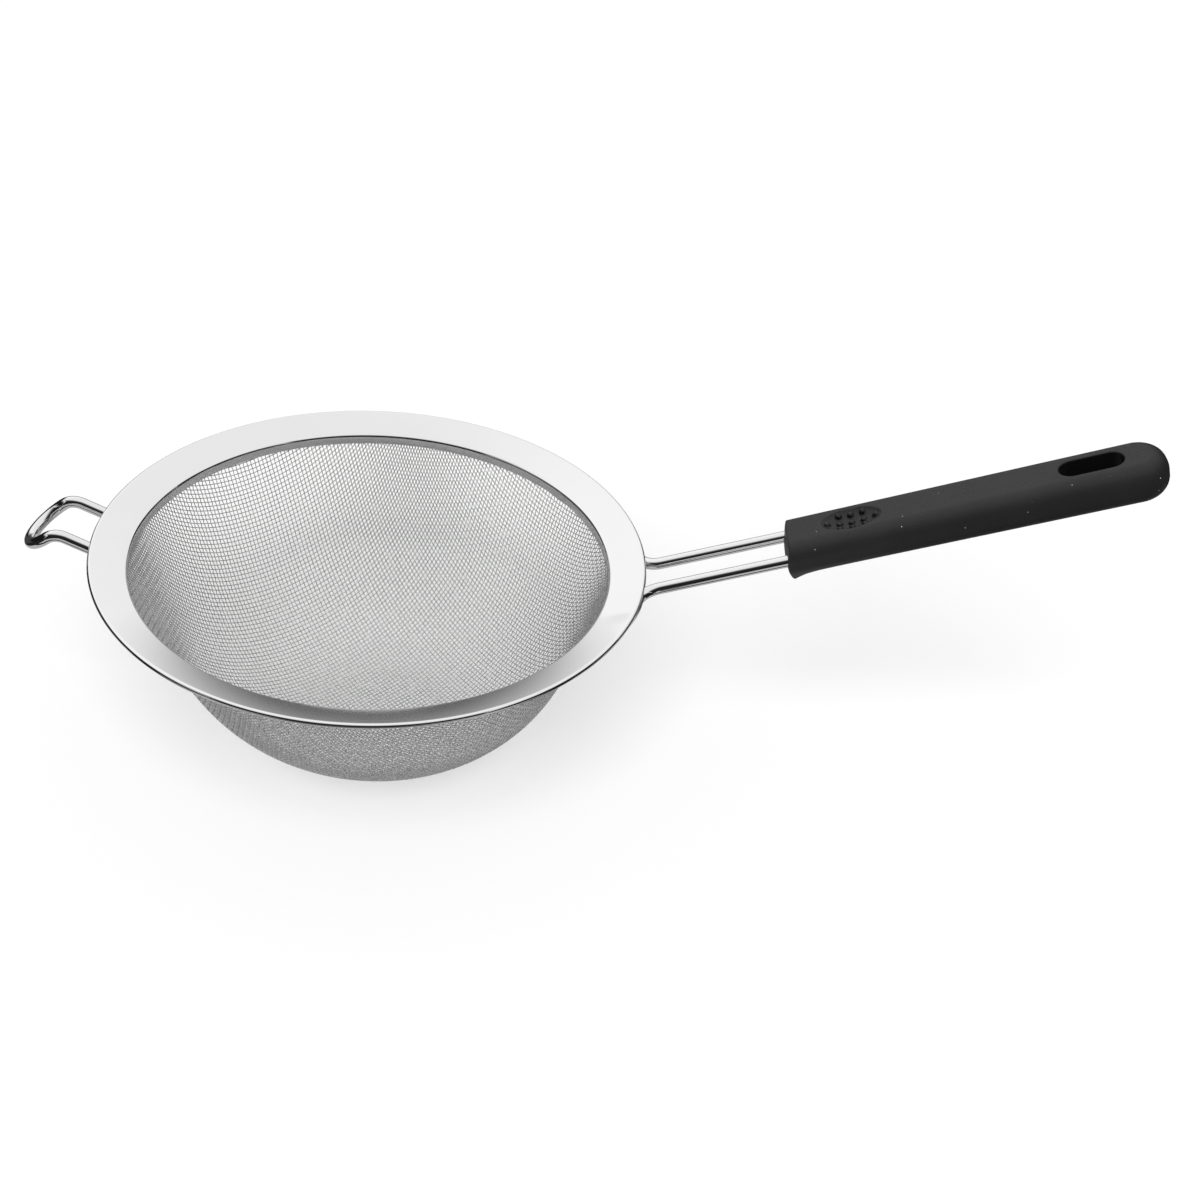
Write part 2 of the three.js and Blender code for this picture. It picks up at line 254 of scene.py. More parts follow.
def dress(thing, finish, node):
    thing.data.materials.append(finish)
    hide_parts(node)
    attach(thing, "root")


# Rim: collar, crest, sloping flange and rolled lip

rimSet = {
    "opening": 80.0, "height": 68.95, "sheet": 0.6, "collar": 3.55, "bend": 1.0,
    "flange": 11.47, "slope": 18.4, "swell": 0.05, "lip": 0.85, "segments": 480,
    "dents": ((-14.5, 87.2, 0.2), (14.5, 87.2, 0.2), (173.4, 87.5, 0.12), (186.6, 87.5, 0.12)),
    "dentSize": 5.0,        # each dent is an angle, a radius and a depth
    "lipSteps": 28, "overSteps": 20, "underSteps": 12, "flangeSteps": 26, "footSteps": 9,
}

slope = np.radians(rimSet["slope"])
crest = np.array([rimSet["opening"] + rimSet["sheet"] / 2 + rimSet["bend"],
                  rimSet["height"] - (rimSet["bend"] + rimSet["sheet"] / 2) * np.sqrt(0.5)])
flangeUp = np.array([-np.sin(slope), np.cos(slope)])
flangeOut = np.array([np.cos(slope), np.sin(slope)])
flangeStart = crest + rimSet["bend"] * flangeUp
flangeRun = (rimSet["opening"] + rimSet["flange"] - flangeStart[0]) / flangeOut[0]
lipCentre = flangeStart + flangeRun * flangeOut
collarFoot = rimSet["height"] - rimSet["collar"]


def flangeUnder(radius):
    # height of the flange's underside at a radius
    below = flangeStart - rimSet["sheet"] / 2 * flangeUp
    return below[1] + (radius - below[0]) * np.tan(slope)


def ringOf(centre, radius, angles):
    return centre + radius * np.stack([np.cos(angles), np.sin(angles)], -1)


def rimProfile(s):
    # up the collar's inside, over the crest, out along the flange, round the lip that is rolled under,
    # and back underneath
    half = s["sheet"] / 2
    rollCentre = lipCentre - (s["lip"] - half) * flangeUp
    rollEnd = np.degrees(np.arcsin(1 - s["sheet"] / s["lip"]))
    lipTurn = arcAngles(s["slope"] + 90, s["slope"] - 180 - rollEnd, s["lipSteps"])
    lip = ringOf(rollCentre, s["lip"], lipTurn)
    overCrest = ringOf(crest, s["bend"] + half, arcAngles(180, 90 + s["slope"], s["overSteps"]))
    underCrest = ringOf(crest, s["bend"] - half, arcAngles(90 + s["slope"], 180, s["underSteps"]))
    share = np.linspace(0, 1, s["flangeSteps"])[1:-1, None]
    swell = 4 * s["swell"] * share * (1 - share) * flangeUp      # the flange is a little round
    top = overCrest[-1] + share * (lip[0] - overCrest[-1]) + swell
    under = lip[-1] + share * (underCrest[0] - lip[-1]) + swell
    footCentre = np.array([s["opening"] + half, collarFoot + half])
    foot = ringOf(footCentre, half, arcAngles(360, 180, s["footSteps"]))
    upright = (crest[1] - collarFoot - half) / 3
    outside = np.array([[s["opening"] + s["sheet"], crest[1] - upright * step] for step in (1, 2)])
    inside = np.array([[s["opening"], crest[1] - upright * step] for step in (2, 1)])
    return np.concatenate([overCrest, top, lip, under, underCrest, outside, foot, inside])


def weldDents(points):
    # soft hollows where the wires are welded on below: depth times a bell of the distance in plan
    low = 0 * points[..., 0]
    for angle, radius, depth in rimSet["dents"]:
        centre = radius * np.array([np.cos(np.radians(angle)), np.sin(np.radians(angle))])
        away = np.hypot(points[..., 0] - centre[0], points[..., 1] - centre[1])
        low = low + depth * np.exp(-(away / rimSet["dentSize"]) ** 2)
    return low


rim = turnedPiece("rim_sheet", rimProfile(rimSet), rimSet["segments"], weldDents)
weldSeams(rim)
print("rim:", len(rim.data.polygons), "faces")


# Clamp ring behind the collar

ringSet = {
    "inside": 82.0, "sheet": 0.8, "bottom": 65.4, "top": 68.2, "rounding": 0.25,
    "segments": 360, "cornerSteps": 6,
}


def ringProfile(s):
    # an upright band with rounded corners
    inner, outer = s["inside"] + s["rounding"], s["inside"] + s["sheet"] - s["rounding"]
    low, high = s["bottom"] + s["rounding"], s["top"] - s["rounding"]
    corners = [((inner, high), 180), ((outer, high), 90), ((outer, low), 0), ((inner, low), -90)]
    return np.concatenate([
        ringOf(np.array(centre), s["rounding"], arcAngles(start, start - 90, s["cornerSteps"]))
        for centre, start in corners])


clampRing = turnedPiece("clamp_band", ringProfile(ringSet), ringSet["segments"])
weldSeams(clampRing)
print("clamp ring:", len(clampRing.data.polygons), "faces")


# Wires of the handle and the hook

wireSet = {"radius": 2.0, "gap": 0.3, "nose": 1.6, "noseSteps": 9, "sides": 32}
handleSet = {
    "spacing": 14.7, "rise": 20.6, "seatInset": 0.77, "footRadius": 32.0, "footSpan": 25.0,
    "bend": 8.0, "neck": 44.4, "tail": 70.0,
    "footSteps": 24, "bendSteps": 30, "rodSteps": 58, "loopSteps": 41,
}
hookSet = {
    "spacing": 20.9, "rise": 23.6, "fall": 37.8, "leg": 8.4, "tuck": 7.0, "bend": 6.3, "below": 3.25,
    "legSteps": 16, "bendSteps": 26, "loopSteps": 57,
}

rise = np.radians(handleSet["rise"])
handleAlong = np.array([np.cos(rise), 0.0, np.sin(rise)])
handleOver = np.array([-np.sin(rise), 0.0, np.cos(rise)])
rodOffset = handleSet["spacing"] / 2
seatRadius = rimSet["opening"] + rimSet["flange"] - handleSet["seatInset"]
seatHeight = flangeUnder(seatRadius) - (wireSet["radius"] + wireSet["gap"]) / np.cos(slope)
bendSide = rodOffset + handleSet["bend"]
bendOut = np.sqrt((seatRadius + handleSet["bend"]) ** 2 - bendSide ** 2)
bendAngle = np.arctan2(bendSide, bendOut)
bendSweep = np.pi / 2 - bendAngle
bendLift = np.tan(rise) * handleSet["bend"] * bendSweep / 2
handleStart = np.array([bendOut, 0.0, seatHeight + bendLift])


def mirroredPath(sidePoints, middlePoints):
    # one side's points, the crossing, and the same points on the other side run backwards
    return np.concatenate([sidePoints, middlePoints, sidePoints[::-1] * [1.0, -1.0, 1.0]])


def runFromNose(length, steps):
    # distances from a wire's end, close together over its nose
    nose = np.linspace(0, wireSet["nose"], wireSet["noseSteps"])
    return np.concatenate([nose[:-1], np.linspace(wireSet["nose"], length, steps)])


def handlePath(s):
    # foot: an arc in the flange's plane; bend: an arc that climbs with the square of its angle;
    # rod: straight; loop: a half circle inside the grip
    outward = np.array([np.cos(bendAngle), np.sin(bendAngle), 0.0])
    alongRim = np.array([-np.sin(bendAngle), np.cos(bendAngle), 0.0])
    upFlange = np.cos(slope) * outward + np.array([0.0, 0.0, np.sin(slope)])
    seat = seatRadius * outward + np.array([0.0, 0.0, seatHeight])
    length = s["footRadius"] * np.radians(s["footSpan"])
    nearEnd = runFromNose(length, s["footSteps"]) / length
    footAngle = (np.radians(s["footSpan"]) * (1 - nearEnd))[:, None]
    foot = seat + s["footRadius"] * ((np.cos(footAngle) - 1) * upFlange + np.sin(footAngle) * alongRim)
    share = np.linspace(0, 1, s["bendSteps"])[1:, None]
    turn = bendAngle + np.pi + share * bendSweep
    bend = np.concatenate([
        bendOut + s["bend"] * np.cos(turn),
        bendSide + s["bend"] * np.sin(turn),
        seatHeight + bendLift * share ** 2,
    ], 1)
    span = s["neck"] + s["tail"]
    rodRun = np.linspace(0, span, s["rodSteps"])[1:, None]
    rod = handleStart + rodRun * handleAlong + np.array([0.0, rodOffset, 0.0])
    swing = np.linspace(0, np.pi, s["loopSteps"])[1:-1, None]
    loop = handleStart + (span + rodOffset * np.sin(swing)) * handleAlong
    loop = loop + rodOffset * np.cos(swing) * np.array([0.0, 1.0, 0.0])
    return mirroredPath(np.concatenate([foot, bend, rod]), loop)


def hookPath(s):
    # leg: straight up and out from under the lip; bend: an arc over the top;
    # loop: a half circle on the way down
    half = s["spacing"] / 2
    up, down = np.radians(s["rise"]), np.radians(s["fall"])
    underLip = lipCentre + s["below"] * np.array([np.sin(up), -np.cos(up)])
    lipPoint = np.array([-np.sqrt(underLip[0] ** 2 - half ** 2), half, underLip[1]])
    outward = np.array([-np.cos(up), 0.0, np.sin(up)])
    over = np.array([np.sin(up), 0.0, np.cos(up)])
    legRun = runFromNose(s["tuck"] + s["leg"], s["legSteps"])
    leg = lipPoint + (legRun[:, None] - s["tuck"]) * outward
    swing = np.linspace(0, up + down, s["bendSteps"])[1:, None]
    bend = leg[-1] - s["bend"] * over + s["bend"] * (np.cos(swing) * over + np.sin(swing) * outward)
    fall = np.array([-np.cos(down), 0.0, -np.sin(down)])
    turn = np.linspace(0, np.pi, s["loopSteps"])[1:-1, None]
    sideways = np.array([0.0, 1.0, 0.0])
    loop = bend[-1] * [1.0, 0.0, 1.0] + half * (np.cos(turn) * sideways + np.sin(turn) * fall)
    return mirroredPath(np.concatenate([leg, bend]), loop)


handleWire = wirePiece("handle_rods", handlePath(handleSet), wireSet)
hookWire = wirePiece("rest_hook", hookPath(hookSet), wireSet)
print("wires:", len(handleWire.data.polygons) + len(hookWire.data.polygons), "faces")


# Bowl: wires of a plain weave, laid on the bowl as a net of equal cells

clothSet = {
    "pitch": 1.56, "wire": 0.32, "crimp": 0.8, "sides": 6, "axes": (46.0, 129.0),
    "flat": 13.0, "sole": 0.4, "flank": 25.0, "edgeRadius": 81.3, "edgeHeight": 65.25,
    "endHeight": 67.2, "lean": 3.5, "pieces": 3, "reach": 130.0, "shortest": 3,
    "tableEnd": 220.0, "tableSteps": 2201, "slideRounds": 4, "netRounds": 5, "longestMove": 0.5,
}

flank = np.radians(clothSet["flank"])
bottomRadius = ((clothSet["edgeRadius"] - clothSet["flat"]) * np.cos(flank)
                - (clothSet["edgeHeight"] - clothSet["sole"]) * np.sin(flank)) / (1 - np.sin(flank))
roundRun = bottomRadius * (np.pi / 2 - flank)


def bowlSection(run):
    # radius, height and slope at a distance along the section: a flat, a round bottom, a straight flank
    lift = np.clip((run - clothSet["flat"]) / bottomRadius, 0, np.pi / 2 - flank)
    straight = np.maximum(run - clothSet["flat"] - roundRun, 0)
    radius = np.minimum(run, clothSet["flat"]) + bottomRadius * np.sin(lift) + straight * np.sin(flank)
    height = clothSet["sole"] + bottomRadius * (1 - np.cos(lift)) + straight * np.cos(flank)
    return radius, height, lift


runTable = np.linspace(0, clothSet["tableEnd"], clothSet["tableSteps"])
radiusTable = bowlSection(runTable)[0]


def ontoBowl(points):
    # nearest point of the bowl and the direction inwards there:
    # slide the section's run along its tangent until the rest is square to it
    across = np.hypot(points[..., 0], points[..., 1])
    run = np.interp(across, radiusTable, runTable)
    for _ in range(clothSet["slideRounds"]):
        radius, height, lift = bowlSection(run)
        run = run + (across - radius) * np.cos(lift) + (points[..., 2] - height) * np.sin(lift)
        run = np.maximum(run, 0)
    radius, height, lift = bowlSection(run)
    aim = points[..., :2] / np.maximum(across, tiny)[..., None]
    place = np.concatenate([radius[..., None] * aim, height[..., None]], -1)
    inward = np.concatenate([-np.sin(lift)[..., None] * aim, np.cos(lift)[..., None]], -1)
    return place, inward


def netQuarter(s, firstAxis, secondAxis):
    # two wires run straight up the bowl from its middle, at the given angles;
    # each further crossing lies one pitch from the two before it
    count, pitch = int(s["reach"] / s["pitch"]), s["pitch"]
    radius, height, _ = bowlSection(np.arange(count) * pitch)
    net = np.zeros((count, count, 3))
    for line, angle in ((net[:, 0], np.radians(firstAxis)), (net[0, :], np.radians(secondAxis))):
        line[:] = np.stack([radius * np.cos(angle), radius * np.sin(angle), height], -1)
    for step in range(2, 2 * count - 1):    # one diagonal row of crossings at a time
        i = np.arange(max(1, step - count + 1), min(count - 1, step - 1) + 1)
        j = step - i
        first, second = net[i - 1, j], net[i, j - 1]
        place, inward = ontoBowl(first + second - net[i - 1, j - 1])
        for _ in range(s["netRounds"]):
            toFirst, toSecond = place - first, place - second
            farFirst = np.linalg.norm(toFirst, axis=1)
            farSecond = np.linalg.norm(toSecond, axis=1)
            rows = np.stack([toFirst / farFirst[:, None], toSecond / farSecond[:, None], inward], 1)
            short = np.stack([pitch - farFirst, pitch - farSecond, 0 * farFirst], 1)
            move = np.linalg.solve(rows + tiny * np.eye(3), short[..., None])[..., 0]
            size = np.linalg.norm(move, axis=1, keepdims=True)
            calm = np.minimum(1, s["longestMove"] * pitch / np.maximum(size, tiny))
            place, inward = ontoBowl(place + move * calm)
        net[i, j] = place
    return net


def clothNet(s):
    # two neighbouring quarters, and the same two turned half round
    first, second = s["axes"]
    right = netQuarter(s, first, second)
    left = netQuarter(s, first + 180, second)
    middle = len(right) - 1
    net = np.zeros((2 * middle + 1, 2 * middle + 1, 3))
    net[middle:, middle:] = right
    net[middle::-1, middle:] = left
    net[middle::-1, middle::-1] = right * [-1.0, -1.0, 1.0]
    net[middle:, middle::-1] = left * [-1.0, -1.0, 1.0]
    return net


def between(values, share):
    # smooth curve through neighbours along the first axis, read at a share of each step
    before, here, after, later = values[:-3], values[1:-2], values[2:-1], values[3:]
    t = share
    return (before * (-0.5 * t + t ** 2 - 0.5 * t ** 3) + here * (1 - 2.5 * t ** 2 + 1.5 * t ** 3)
            + after * (0.5 * t + 2 * t ** 2 - 1.5 * t ** 3) + later * (-0.5 * t ** 2 + 0.5 * t ** 3))


def placedOnSieve(points):
    # lean of the bowl towards the handle, upright edge behind the collar
    far = np.maximum(np.hypot(points[..., 0], points[..., 1]), tiny)
    drawn = np.minimum(1, clothSet["edgeRadius"] / far)
    pull = np.where(points[..., 2] > clothSet["edgeHeight"], drawn, 1)
    lean = clothSet["lean"] * np.clip(1 - points[..., 2] / clothSet["edgeHeight"], 0, 1)
    return np.stack([points[..., 0] * pull + lean, points[..., 1] * pull, points[..., 2]], -1)


def wovenWires(name, net, phase):
    # each wire passes over one neighbour and under the next:
    # level for half a pitch at a crossing, sloping between
    whole, inward = ontoBowl(net)
    count = len(net) - 3
    shares = (0.25, 0.75)       # where the level stretches end
    centre = np.stack([between(whole, share) for share in shares], 1).reshape(2 * count, -1, 3)
    normal = unit(np.stack([between(inward, share) for share in shares], 1).reshape(2 * count, -1, 3))
    crossing = (np.arange(2 * count) + 1) // 2 + 1
    overUnder = 1 - 2 * ((crossing[:, None] + np.arange(net.shape[1])[None, :] + phase) % 2)
    inside = centre[..., 2] < clothSet["endHeight"]
    radius, sides = clothSet["wire"] / 2, clothSet["sides"]
    path = placedOnSieve(centre + clothSet["crimp"] * radius * overUnder[..., None] * normal)
    along = unit(np.gradient(path, axis=0))
    side = unit(np.cross(along, normal))
    over = np.cross(side, along)
    angle = np.linspace(0, 2 * np.pi, sides, endpoint=False)[:, None]
    around = np.cos(angle) * side[:, :, None] + np.sin(angle) * over[:, :, None]
    rings = path[:, :, None] + radius * around
    columns = np.flatnonzero(inside.sum(0) > clothSet["shortest"])
    corner = np.arange(sides)
    nextCorner = (corner + 1) % sides
    made = []
    for part, wires in enumerate(np.array_split(columns, clothSet["pieces"])):
        keep = inside[:, wires].T                       # one row for a wire
        number = np.where(keep, np.cumsum(keep).reshape(keep.shape) - 1, -1)
        points = rings[:, wires].transpose(1, 0, 2, 3)[keep]
        here = number[:, :-1][keep[:, :-1] & keep[:, 1:]]
        base = here[:, None] * sides
        ahead = base + sides
        quads = np.stack([base + corner, ahead + corner, ahead + nextCorner, base + nextCorner], -1)
        quads = quads.reshape(-1, 4)
        starts = number[keep & ~np.pad(keep, ((0, 0), (1, 0)))[:, :-1]]
        ends = number[keep & ~np.pad(keep, ((0, 0), (0, 1)))[:, 1:]]
        capStart = starts[:, None] * sides + corner
        capEnd = ends[:, None] * sides + corner[::-1]
        made.append(putMesh(name + "_" + "abc"[part], points.reshape(-1, 3), [quads, capStart, capEnd]))
    return made


net = clothNet(clothSet)
clothPieces = wovenWires("warp_wires", net, 0) + wovenWires("weft_wires", net.transpose(1, 0, 2), 1)
print("bowl:", [len(piece.data.polygons) for piece in clothPieces], "faces")


# Grip: one moulded piece with a thumb recess, raised dots and a hanging slot

gripSet = {
    "length": 123.6, "half": 11.0, "rounding": 5.5, "rearRounding": 10.2, "under": 6.05,
    "frontHeight": 12.6, "rearHeight": 14.2, "frontDome": 60.0, "frontBulge": 0.5, "frontEdge": 0.7,
    "domeFade": 20.0, "leanFrom": 2.5, "leanSpan": 5.0, "lean": 1.8,
    "domeAcross": 0.6, "chin": 1.5, "chinFrom": 5.0, "chinSpan": 6.0,
    "guardDrop": 2.5, "guardRun": 4.4, "guardHalf": 10.4, "guardSoft": 4.0,
    "guardFrom": 2.0, "guardSpan": 4.0,
    "slotLength": 20.7, "slotWidth": 8.7, "slotFromRear": 13.3, "slotEdge": 0.55,
    "thumbAt": 21.8, "thumbLength": 20.0, "thumbWidth": 11.6, "thumbDepth": 2.4, "thumbPower": 0.75,
    "topFrom": 2.0, "dotPitch": 4.0, "dotRow": 3.6, "dotRadius": 1.15,
    "fineFrom": 10.0, "fineTo": 34.0, "fineStep": 0.24,
    "frontSteps": 14, "middleSteps": 40, "slotTurn": 20, "slotSide": 12, "restSteps": 6,
    "cornerSteps": 18, "lastSteps": 4, "stripSteps": 28, "roundSteps": 12, "lowSteps": 16,
    "edgeSteps": 7, "faceSteps": 14, "filletSteps": 6,
}


def gripHeight(x):
    return gripSet["frontHeight"] + (gripSet["rearHeight"] - gripSet["frontHeight"]) * x / gripSet["length"]


def thumbRecess(x, y):
    # a shallow dish less the dots that stand in it: column of one, three columns of three, column of one
    g = gripSet
    across = ((x - g["thumbAt"]) / (g["thumbLength"] / 2)) ** 2 + (y / (g["thumbWidth"] / 2)) ** 2
    dish = g["thumbDepth"] * np.clip(1 - across, 0, 1) ** g["thumbPower"]
    column, row = np.meshgrid(np.arange(-2, 3), np.arange(-1, 2), indexing="ij")
    used = (np.abs(column) < 2) | (row == 0)
    dotX = g["thumbAt"] + g["dotPitch"] * column[used]
    dotY = g["dotRow"] * row[used]
    away = (x[..., None] - dotX) ** 2 + (y[..., None] - dotY) ** 2
    dots = np.sqrt(np.clip(g["dotRadius"] ** 2 - away, 0, None)).max(-1)
    return dish - dots, dots / g["dotRadius"]


def gripStations(g):
    # where the section lines stand: inner end (on the middle line or round the slot)
    # and outer core point with its normal
    slotRadius = g["slotWidth"] / 2
    slotMiddle = g["length"] - g["slotFromRear"] - g["slotLength"] / 2
    slotHalf = g["slotLength"] / 2 - slotRadius
    edge = slotRadius + g["slotEdge"]
    front = np.concatenate([
        np.linspace(g["frontEdge"], g["fineFrom"], g["frontSteps"])[:-1],
        np.arange(g["fineFrom"], g["fineTo"], g["fineStep"]),
        np.linspace(g["fineTo"], slotMiddle - slotHalf - edge, g["middleSteps"])[:-1],
    ])
    turn, side = g["slotTurn"], g["slotSide"]
    slotAngle = np.concatenate([
        arcAngles(180, 90, turn), np.full(side, np.pi / 2), arcAngles(90, 0, turn)])
    slotAxis = slotMiddle + np.concatenate([
        np.full(turn, -slotHalf),
        np.linspace(-slotHalf, slotHalf, side + 2)[1:-1],
        np.full(turn, slotHalf),
    ])
    coreHalf = g["half"] - g["rounding"]
    corner = g["rearRounding"] - g["rounding"]
    rearCore = g["length"] - g["rearRounding"]
    rest = np.linspace(slotMiddle + slotHalf + edge, rearCore, g["restSteps"])[1:-1]
    cornerArc = arcAngles(90, 0, g["cornerSteps"])
    last = np.linspace(coreHalf - corner, 0, g["lastSteps"])[1:]
    innerX = np.concatenate([
        front, slotAxis + edge * np.cos(slotAngle), rest,
        rearCore + corner * np.cos(cornerArc), np.full(len(last), rearCore + corner),
    ])
    innerY = np.concatenate([0 * front, edge * np.sin(slotAngle), 0 * rest, 0 * cornerArc, 0 * last])
    straight = len(front) + len(slotAngle) + len(rest)
    outerY = np.concatenate([
        np.full(straight, coreHalf), coreHalf - corner + corner * np.sin(cornerArc), last])
    normalX = np.concatenate([np.zeros(straight), np.cos(cornerArc), np.ones(len(last))])
    slotSpan = slice(len(front), len(front) + len(slotAngle))
    return innerX, innerY, outerY, normalX, slotSpan, slotAngle, slotAxis


def gripSurface(g):
    # half a section is carried along the stations: top strip, upper round, side, lower round, bottom strip.
    # The other half is its mirror image, and a wall joins top and bottom round the slot.
    innerX, innerY, outerY, normalX, slotSpan, slotAngle, slotAxis = gripStations(g)
    normalY = np.sqrt(np.clip(1 - normalX ** 2, 0, 1))
    strip = np.linspace(0, 1, g["stripSteps"])
    upper = arcAngles(90, 0, g["roundSteps"])[1:]
    lower = arcAngles(0, -90, g["roundSteps"])[1:]
    bottom = np.linspace(1, 0, g["lowSteps"])[1:]
    across = np.concatenate([strip, np.ones(len(upper) + len(lower)), bottom])
    out = np.concatenate([0 * strip, np.cos(upper), np.cos(lower), 0 * bottom]) * g["rounding"]
    level = np.concatenate([
        np.full(len(strip), g["frontHeight"]),
        g["frontHeight"] - g["rounding"] + g["rounding"] * np.sin(upper),
        g["rounding"] + g["rounding"] * np.sin(lower),
        0 * bottom,
    ])
    x = innerX[:, None] + normalX[:, None] * out
    y = innerY[:, None] + (outerY - innerY)[:, None] * across + normalY[:, None] * out
    z = level * gripHeight(x) / g["frontHeight"] - g["under"]
    body = np.stack([x, y, z], -1)

    # front end: a rounded edge, then a face drawn in to its middle
    ring = body[0]
    lineOut = np.gradient(ring[:, 1:], axis=0)
    lineOut = unit(np.stack([-lineOut[:, 1], lineOut[:, 0]], -1))
    lineOut[[0, -1], 0] = 0
    lineOut = unit(lineOut)
    turn = arcAngles(0, 90, g["edgeSteps"])[1:, None, None]
    edgeX = g["frontEdge"] * (1 - np.sin(turn)) + 0 * ring[:, :1]
    edgeRings = np.concatenate([edgeX, ring[:, 1:] - g["frontEdge"] * (1 - np.cos(turn)) * lineOut], -1)
    draw = np.linspace(1, 0, g["faceSteps"])[1:, None, None]
    faceRings = edgeRings[-1:] * np.concatenate([0 * draw, draw, draw], -1)
    cap = np.concatenate([faceRings[::-1], edgeRings[::-1]])
    shell = np.concatenate([cap, body])

    # slot wall: from the top strip's edge, over a small round, down and out again underneath
    fillet = g["slotEdge"]
    bend = arcAngles(90, 0, g["filletSteps"])
    offset = np.concatenate([fillet * (1 - np.cos(bend)), fillet * (1 - np.cos(bend[::-1]))])
    drop = np.concatenate([fillet * (1 - np.sin(bend)), -fillet * (1 - np.sin(bend[::-1]))])
    share = np.concatenate([np.zeros(len(bend)), np.ones(len(bend))])
    radius = g["slotWidth"] / 2 + offset
    wallX = slotAxis[:, None] + radius * np.cos(slotAngle)[:, None]
    wallY = radius * np.sin(slotAngle)[:, None]
    height = gripHeight(innerX[slotSpan])[:, None]
    wall = np.stack([wallX, wallY, height * (1 - share) - drop - g["under"]], -1)
    return shell, wall


def finishGripShape(points):
    # front: moved in with the squares of y and z, out by the bulge and the chin, in again low down,
    # and less and less along the grip; guard: a drop under the front that dies away along x;
    # recess: the dish with its dots, taken from the top
    g = gripSet
    x, y, z = points[..., 0], points[..., 1], points[..., 2]
    lowFront = np.clip((-z - g["leanFrom"]) / g["leanSpan"], 0, None) ** 2
    chin = g["chin"] * np.clip((g["chinFrom"] - z) / g["chinSpan"], 0, 1)
    roundFront = (g["domeAcross"] * y ** 2 + z ** 2) / (2 * g["frontDome"])
    dome = roundFront - g["frontBulge"] - chin + g["lean"] * lowFront
    fade = np.clip(1 - x / g["domeFade"], 0, 1) ** 2
    window = np.clip((g["guardHalf"] - np.abs(y)) / g["guardSoft"], 0, 1)
    window = window * window * (3 - 2 * window)
    depth = np.clip((-z - g["guardFrom"]) / g["guardSpan"], 0, 1)
    guard = g["guardDrop"] * np.exp(-np.clip(x, 0, None) / g["guardRun"]) * window * depth
    recess, dots = thumbRecess(x, y)
    onTop = z > g["topFrom"]
    shaped = np.stack([x + dome * fade, y, z - guard - recess * onTop], -1)
    return shaped, dots * onTop


def ontoHandle(points):
    # from the grip's own frame, X along the handle, to the sieve's
    start = handleStart + handleSet["neck"] * handleAlong
    axes = np.stack([handleAlong, [0.0, 1.0, 0.0], handleOver])
    return start + points @ axes


def makeGrip(g):
    shell, wall = gripSurface(g)
    shell, dots = finishGripShape(shell)
    mirror = np.array([1.0, -1.0, 1.0])
    points, faces, first = [], [], 0
    for grid in (shell, shell * mirror, wall, wall * mirror):
        points.append(ontoHandle(grid).reshape(-1, 3))
        faces.append(gridFaces(*grid.shape[:2]) + first)
        first += len(points[-1])
    thing = putMesh("moulded_grip", np.concatenate(points), faces)
    inWall = np.zeros(wall.shape[:2])
    halfFillet = g["filletSteps"] // 2
    inWall[:, halfFillet:-halfFillet] = 1
    # the dots and the slot's wall are marked for painted shade: the finish colours them darker
    putValues(thing, "dotShare", [dots, dots, 0 * inWall, 0 * inWall])
    putValues(thing, "slotShadeShare", [0 * dots, 0 * dots, inWall, inWall])
    weldSeams(thing, 2e-6)
    return thing


grip = makeGrip(gripSet)
print("grip:", len(grip.data.polygons), "faces")


# Finishes; a noise is given by its scale and detail, a bump by its strength and depth in metres

steelSet = {
    "tone": 0.92, "shift": 0.02, "roughness": (0.07, 0.12), "lines": 2600.0, "lineDetail": 3.0,
    "marks": (38.0, 4.0), "markRoughness": 0.6, "mixRange": (0.12, 0.42), "bump": (0.02, 0.0001),
}
ringFinishSet = {**steelSet, "tone": 0.62, "shift": 0.03, "roughness": (0.18, 0.30), "lines": 1800.0}
wireFinishSet = {
    "tone": 0.90, "shift": 0.03, "roughness": (0.05, 0.10), "stretch": (26.0, 60.0, 1.0),
    "streaks": (1.0, 3.0), "marks": (60.0, 4.0), "bump": (0.03, 0.0001),
}


def polishedSteel(name, s):
    # turned sheet: fine rings round the axis in the roughness, soft handling marks over them
    finish, tree, shader = newFinish(name)
    place = objectPlace(tree)
    flat = vectorWorked(tree, "MULTIPLY", place, (1, 1, 0), "Vector")
    far = vectorWorked(tree, "DISTANCE", flat, (0, 0, 0))
    rings = addNode(tree, "ShaderNodeTexNoise", {"noise_dimensions": "1D"}, Scale=s["lines"],
                    Detail=s["lineDetail"], W=far).outputs["Fac"]
    marks = noise(tree, place, *s["marks"], Roughness=s["markRoughness"])
    both = worked(tree, "MULTIPLY", rings, marks)
    tone = ranged(tree, marks, (0, 1), toneRange(s))
    setShader(tree, shader, Metallic=1.0, Base_Color=grey(tree, tone),
              Roughness=ranged(tree, both, s["mixRange"], s["roughness"]),
              Normal=bumped(tree, rings, *s["bump"]))
    return finish


def drawnWire(name, s):
    # drawn wire: faint streaks along its length, from the piece's own map
    finish, tree, shader = newFinish(name)
    place = addNode(tree, "ShaderNodeUVMap", {"uv_map": "alongWire"}).outputs["UV"]
    stretch = addNode(tree, "ShaderNodeMapping", Vector=place, Scale=s["stretch"])
    streaks = noise(tree, stretch.outputs["Vector"], *s["streaks"])
    marks = noise(tree, objectPlace(tree), *s["marks"])
    tone = ranged(tree, streaks, (0, 1), toneRange(s))
    setShader(tree, shader, Metallic=1.0, Base_Color=grey(tree, tone),
              Roughness=ranged(tree, marks, (0, 1), s["roughness"]),
              Normal=bumped(tree, streaks, *s["bump"]))
    return finish


clothFinishSet = {
    "tone": 0.58, "shift": 0.07, "metal": 0.7, "roughness": (0.18, 0.34),
    "patches": (420.0, 2.0), "patchRange": (0.3, 0.7),
}


